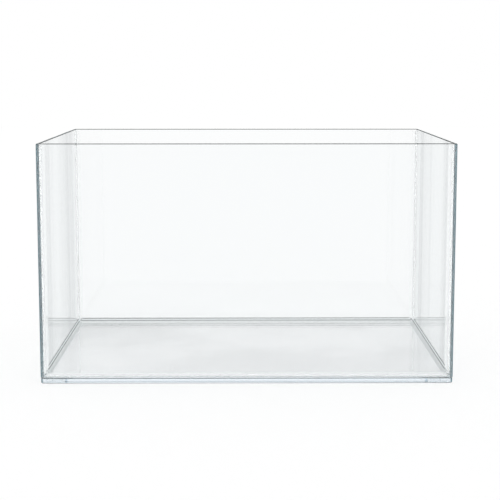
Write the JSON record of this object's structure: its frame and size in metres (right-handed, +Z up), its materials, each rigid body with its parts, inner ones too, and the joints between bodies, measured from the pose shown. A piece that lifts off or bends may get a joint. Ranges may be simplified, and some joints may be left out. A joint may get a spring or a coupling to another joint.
{
  "type": "aquarium",
  "caption": "Rimless open-top glass fish tank: clear panes bonded with clear silicone, a base pane under the walls and neat inner seal beads.",
  "frame": {"origin": "middle of the underside of the base pane, on the surface that the tank stands on", "axes": "+Z up, +X towards the right pane as seen from the front, -Y out of the front pane"},
  "size_m": [0.6, 0.35, 0.35],
  "materials": {
    "glass": "polished low-iron glass, clear through its face and pale teal through its edge",
    "silicone": "clear cured silicone, smooth and slightly milky"
  },
  "bodies": {
    "root": {"base_pane": "glass", "front_pane": "glass", "back_pane": "glass", "left_pane": "glass", "right_pane": "glass", "front_base_bond": "silicone", "back_base_bond": "silicone", "left_base_bond": "silicone", "right_base_bond": "silicone", "front_left_bond": "silicone", "front_right_bond": "silicone", "back_left_bond": "silicone", "back_right_bond": "silicone", "front_base_bead": "silicone", "back_base_bead": "silicone", "left_base_bead": "silicone", "right_base_bead": "silicone", "front_left_bead": "silicone", "front_right_bead": "silicone", "back_left_bead": "silicone", "back_right_bead": "silicone"}
  },
  "joints": []
}
